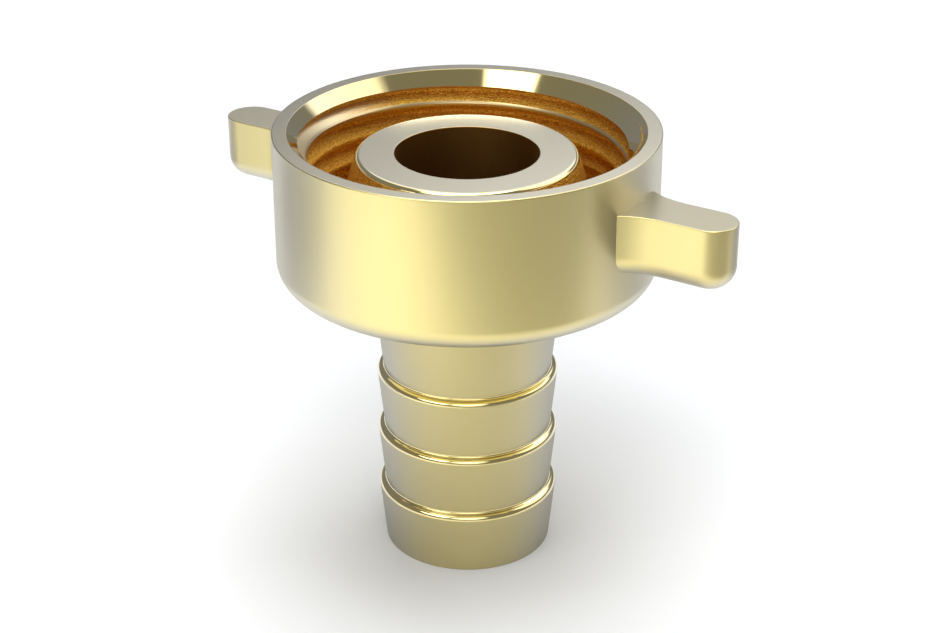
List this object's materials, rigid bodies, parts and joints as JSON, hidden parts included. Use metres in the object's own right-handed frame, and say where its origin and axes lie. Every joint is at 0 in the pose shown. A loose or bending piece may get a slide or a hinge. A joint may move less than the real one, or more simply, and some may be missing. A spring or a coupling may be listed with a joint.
{
  "type": "wing nut hose coupling",
  "caption": "Brass hose coupling: a barbed hose tail with a flat sealing face, drawn up by a two-winged internally threaded nut that swivels on it.",
  "frame": {"origin": "centre of the hose tail's lower end face, on the bore axis, where the coupling stands", "axes": "+Z along the bore axis from the hose end to the nut's rim, +X along one wing, +Y across the wings"},
  "size_m": [0.045, 0.0294, 0.035],
  "materials": {
    "brass_tail": "fine turned satin, polished barb crests",
    "brass_nut": "tumbled satin outside, bright machined chamfer and thread"
  },
  "bodies": {
    "tail": {"hose_tail": "brass_tail"},
    "nut": {"wing_nut": "brass_nut"}
  },
  "joints": [
    {"name": "nut_swivel", "type": "hinge", "parent": "tail", "child": "nut", "pos_m": [0, 0, 0.0246], "axis": [0, 0, 1], "continuous": true}
  ]
}
